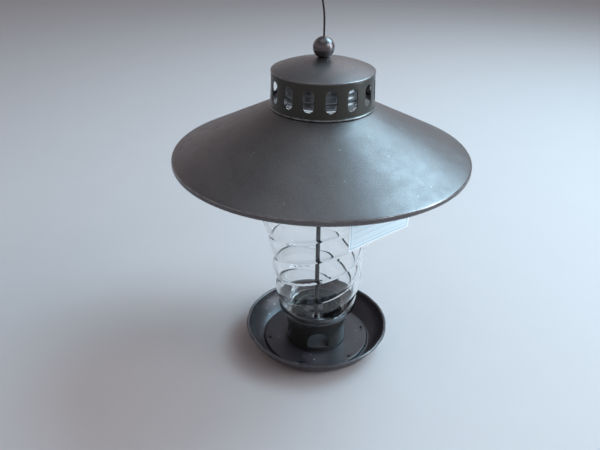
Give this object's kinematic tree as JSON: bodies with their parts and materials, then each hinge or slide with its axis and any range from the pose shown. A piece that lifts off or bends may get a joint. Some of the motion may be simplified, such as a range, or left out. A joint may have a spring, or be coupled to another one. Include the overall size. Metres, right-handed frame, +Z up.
{
  "type": "bird feeder",
  "caption": "Hanging seed feeder: swirled glass jar in a ported collar on a round tray, under a wide cone roof with a slotted vent collar, ball finial and wire.",
  "frame": {"origin": "on the feeder's axis at the surface the tray stands on", "axes": "+Z up along the centre rod; -Y is the front, where the first port, the card and the viewer are; +X is the viewer's right"},
  "size_m": [0.292, 0.292, 0.4798],
  "materials": {
    "bronze_paint": "satin",
    "collar_black": "gloss",
    "vent_paint": "satin",
    "clear_glass": "polished",
    "rubber_seal": "matte",
    "zinc_steel": "satin",
    "wire_steel": "satin",
    "card": "matte"
  },
  "bodies": {
    "base": {"tray": "bronze_paint", "base_collar": "collar_black", "seed_cone": "collar_black", "cone_nut": "zinc_steel", "jar_seat": "collar_black", "foot_gasket": "rubber_seal", "glass_jar": "clear_glass", "mouth_gasket": "rubber_seal", "centre_rod": "wire_steel", "base_washer": "zinc_steel", "base_nut": "zinc_steel", "paper_card": "card"},
    "roof": {"roof_cone": "bronze_paint", "vent_collar": "vent_paint", "lid_plate": "bronze_paint", "mouth_ring": "bronze_paint", "dome_cap": "bronze_paint", "finial_washer": "bronze_paint"},
    "hanger": {"wire_ferrule": "zinc_steel", "hanger_wire": "wire_steel", "eye_sleeve": "zinc_steel"},
    "finial": {"ball_finial": "bronze_paint"}
  },
  "joints": [
    {"name": "roof_lift", "type": "slide", "parent": "base", "child": "roof", "axis": [0, 0, 1], "range_m": [0, 0.12]},
    {"name": "finial_rise", "type": "slide", "parent": "roof", "child": "hanger", "axis": [0, 0, 1], "range_m": [0, 0.008]},
    {"name": "finial_turn", "type": "hinge", "parent": "hanger", "child": "finial", "pos_m": [0, 0, 0.3334], "axis": [0, 0, 1], "range_deg": [0, 3601]}
  ],
  "couplings": [
    {"joint": "finial_turn", "follows": "finial_rise", "rad_per_m": 7854}
  ]
}
